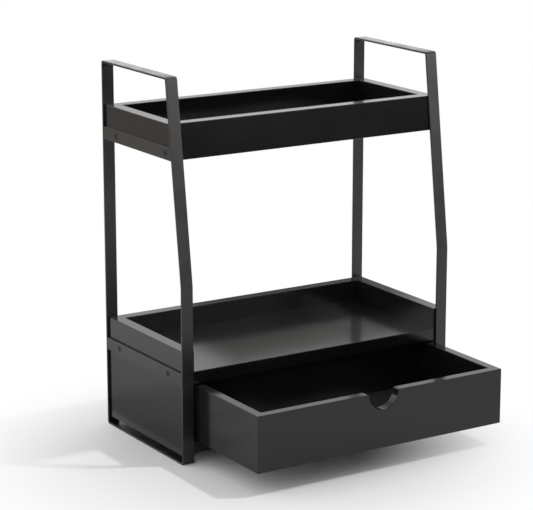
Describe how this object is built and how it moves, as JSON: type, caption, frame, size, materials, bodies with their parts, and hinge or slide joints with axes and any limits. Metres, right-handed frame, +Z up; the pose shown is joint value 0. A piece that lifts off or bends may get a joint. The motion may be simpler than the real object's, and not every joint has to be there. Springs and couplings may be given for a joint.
{
  "type": "counter organizer",
  "caption": "Tiered counter organizer: black flat-bar side frames hold an open upper tray and a base with a low shelf and a sliding drawer with a finger notch.",
  "frame": {"origin": "on the counter, under the middle of the outline with the drawer drawn out as pictured", "axes": "+Z up, -Y the front that the drawer opens towards, +X the organizer's right-hand side"},
  "size_m": [0.3, 0.2552, 0.359],
  "materials": {
    "black_bar": "satin black powder coat on steel flat bar",
    "black_screw": "blackened steel",
    "black_board": "satin black lacquer on board",
    "dowel_wood": "bare beech"
  },
  "bodies": {
    "stand": {"left_side_frame": "black_bar", "right_side_frame": "black_bar", "left_upper_strap": "black_bar", "left_lower_strap": "black_bar", "right_upper_strap": "black_bar", "right_lower_strap": "black_bar", "left_upper_strap_screws": "black_screw", "left_lower_strap_screws": "black_screw", "right_upper_strap_screws": "black_screw", "right_lower_strap_screws": "black_screw", "upper_tray_front": "black_board", "upper_tray_back": "black_board", "upper_tray_left_end": "black_board", "upper_tray_right_end": "black_board", "upper_tray_floor": "black_board", "base_left_side": "black_board", "base_right_side": "black_board", "base_back": "black_board", "base_shelf": "black_board", "base_bottom": "black_board", "upper_tray_dowels": "dowel_wood", "base_dowels": "dowel_wood"},
    "drawer": {"drawer_front": "black_board", "drawer_left_side": "black_board", "drawer_right_side": "black_board", "drawer_back": "black_board", "drawer_bottom": "black_board", "drawer_dowels": "dowel_wood"}
  },
  "joints": [
    {"name": "drawer_slide", "type": "slide", "parent": "stand", "child": "drawer", "axis": [0, -1, 0], "range_m": [-0.1095, 0.008]}
  ]
}
